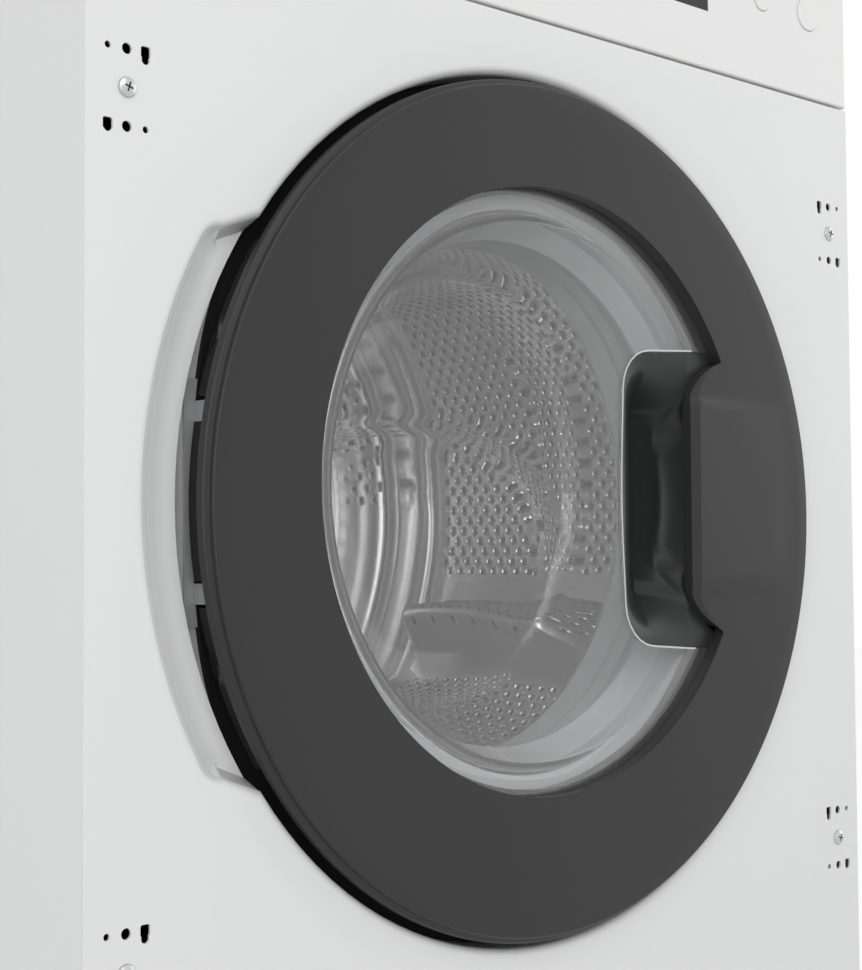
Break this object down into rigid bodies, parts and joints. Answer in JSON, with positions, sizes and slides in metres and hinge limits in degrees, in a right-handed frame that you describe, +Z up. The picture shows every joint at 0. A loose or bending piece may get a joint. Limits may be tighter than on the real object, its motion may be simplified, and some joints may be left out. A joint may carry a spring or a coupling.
{
  "type": "built-in washer dryer",
  "caption": "Built-in front-loading washer dryer with a dark round door ring, recessed grip, glass bowl, steel drum and a panel pierced for kitchen door hinges.",
  "frame": {"origin": "middle of the floor area, at the underside of the feet", "axes": "+Z up, -Y towards the user, +X to the user's right"},
  "size_m": [0.595, 0.557, 0.82],
  "materials": {
    "white_enamel": "smooth white powder coat",
    "galvanised": "bare galvanised sheet",
    "white_plastic": "white moulded plastic",
    "dark_ring": "dark grey satin moulding",
    "black_frame": "black gloss moulding",
    "smoked_cup": "smoked clear moulding",
    "clear_cover": "clear, faint green at the edge",
    "clear_glass": "clear pressed glass",
    "window": "black gloss",
    "seal_rubber": "matt grey",
    "steel": "stainless sheet",
    "zinc": "zinc plated",
    "cast_aluminium": "as cast",
    "tub_plastic": "filled polypropylene",
    "grey_plastic": "moulded",
    "black_rubber": "matt black",
    "concrete": "cast ballast",
    "motor_steel": "cast housing, painted black"
  },
  "bodies": {
    "cabinet": {"base_pan": "galvanised", "left_side_panel": "white_enamel", "right_side_panel": "white_enamel", "top_cover": "galvanised", "rear_panel": "galvanised", "rear_service_cover": "galvanised", "front_panel": "white_enamel", "kick_plate": "white_enamel", "control_panel": "white_plastic", "display_window": "window", "drawer_bay": "white_plastic", "door_seal": "seal_rubber", "door_lock": "grey_plastic", "hinge_bracket": "zinc", "control_board": "grey_plastic", "drain_pump": "grey_plastic", "sump_hose": "black_rubber", "drain_pipe": "grey_plastic", "inlet_valve": "grey_plastic", "furniture_screws": "zinc", "rear_feet": "black_rubber", "suspension_springs": "zinc", "shock_absorbers": "grey_plastic"},
    "tub": {"tub_front": "tub_plastic", "tub_rear": "tub_plastic", "wash_heater": "steel", "front_counterweight": "concrete", "top_counterweight": "concrete", "drum_bearings": "steel", "shaft_seal": "black_rubber", "motor": "motor_steel", "drive_belt": "black_rubber", "fan_housing": "cast_aluminium", "drying_duct": "cast_aluminium", "condenser": "tub_plastic"},
    "drum": {"drum_shell": "steel", "drum_front": "steel", "drum_back": "steel", "lifter_1": "steel", "lifter_2": "steel", "lifter_3": "steel", "drum_spider": "cast_aluminium", "drum_shaft": "steel", "drum_pulley": "cast_aluminium"},
    "motor_rotor": {"motor_pulley": "steel"},
    "fan": {"fan_impeller": "cast_aluminium"},
    "door": {"door_trim": "dark_ring", "door_back_frame": "black_frame", "door_glass": "clear_glass", "door_cover": "clear_cover", "handle_pocket": "smoked_cup", "hinge_arm": "zinc"},
    "latch": {"door_latch": "grey_plastic"},
    "drawer": {"detergent_drawer": "white_plastic"},
    "knob": {"programme_knob": "white_plastic"},
    "start": {"start_button": "white_plastic"},
    "power": {"power_button": "white_plastic"},
    "filter": {"filter_cap": "grey_plastic"},
    "left_foot": {"foot_front_left": "black_rubber"},
    "right_foot": {"foot_front_right": "black_rubber"}
  },
  "joints": [
    {"name": "tub_bounce", "type": "slide", "parent": "cabinet", "child": "tub", "axis": [0, 0, 1], "range_m": [-0.008, 0.008], "stiffness_N_per_m": 20000, "springref_m": 0.01606, "deforming": ["suspension_springs", "shock_absorbers", "door_seal", "sump_hose"]},
    {"name": "drum_spin", "type": "hinge", "parent": "tub", "child": "drum", "pos_m": [0, 0, 0.44], "axis": [0, 1, 0], "continuous": true},
    {"name": "motor_spin", "type": "hinge", "parent": "tub", "child": "motor_rotor", "pos_m": [-0.12, 0, 0.11], "axis": [0, 1, 0], "continuous": true},
    {"name": "fan_spin", "type": "hinge", "parent": "tub", "child": "fan", "pos_m": [0.15, 0.0815, 0.72], "axis": [0, 0, 1], "continuous": true},
    {"name": "door_hinge", "type": "hinge", "parent": "cabinet", "child": "door", "pos_m": [-0.219, -0.2615, 0.4302], "axis": [0, 0, -1], "range_deg": [0, 95]},
    {"name": "latch_pivot", "type": "hinge", "parent": "door", "child": "latch", "pos_m": [0.203, -0.2565, 0.4302], "axis": [0, 0, 1], "range_deg": [-6, 0], "stiffness_Nm_per_rad": 0.4},
    {"name": "drawer_slide", "type": "slide", "parent": "cabinet", "child": "drawer", "axis": [0, -1, 0], "range_m": [0, 0.15]},
    {"name": "knob_turn", "type": "hinge", "parent": "cabinet", "child": "knob", "pos_m": [-0.07, -0.2685, 0.762], "axis": [0, -1, 0], "continuous": true},
    {"name": "start_press", "type": "slide", "parent": "cabinet", "child": "start", "axis": [0, 1, 0], "range_m": [0, 0.0015], "stiffness_N_per_m": 600},
    {"name": "power_press", "type": "slide", "parent": "cabinet", "child": "power", "axis": [0, 1, 0], "range_m": [0, 0.0015], "stiffness_N_per_m": 600},
    {"name": "filter_turn", "type": "hinge", "parent": "cabinet", "child": "filter", "pos_m": [0.07, -0.2185, 0.074], "axis": [0, -1, 0], "range_deg": [0, 90]},
    {"name": "left_foot_turn", "type": "hinge", "parent": "cabinet", "child": "left_foot", "pos_m": [-0.262, -0.1785, 0], "axis": [0, 0, -1], "continuous": true},
    {"name": "right_foot_turn", "type": "hinge", "parent": "cabinet", "child": "right_foot", "pos_m": [0.262, -0.1785, 0], "axis": [0, 0, -1], "continuous": true}
  ],
  "couplings": [
    {"joint": "motor_spin", "follows": "drum_spin", "ratio": 13.636}
  ]
}
